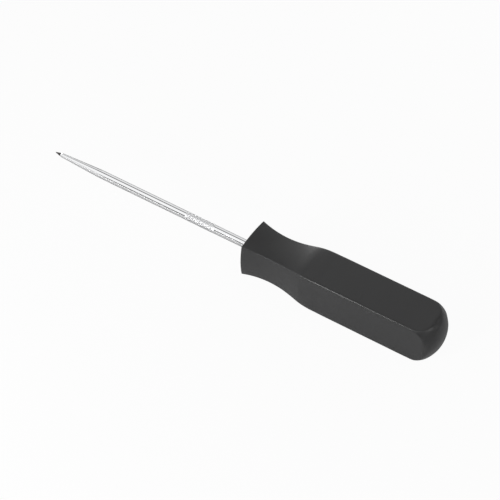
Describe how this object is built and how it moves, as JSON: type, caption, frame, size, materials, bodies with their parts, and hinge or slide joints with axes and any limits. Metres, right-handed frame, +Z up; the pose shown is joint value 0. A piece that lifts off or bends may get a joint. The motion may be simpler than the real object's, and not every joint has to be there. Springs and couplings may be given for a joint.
{
  "type": "o-ring pick",
  "caption": "Straight O-ring pick: a pointed chromed shaft with a knurled finger band, moulded into a square black handle with a waisted neck and domed butt.",
  "frame": {"origin": "on the level of the grip's lower flat, which the tool lies on, under the middle of its overall length", "axes": "+X along the tool from the point to the butt, +Z up, square to the grip's lower flat"},
  "size_m": [0.16, 0.0156, 0.0157],
  "materials": {
    "handle_plastic": "satin black, moulded",
    "shaft_chrome": "bright chrome plate"
  },
  "bodies": {
    "root": {"handle": "handle_plastic", "shaft": "shaft_chrome"}
  },
  "joints": []
}
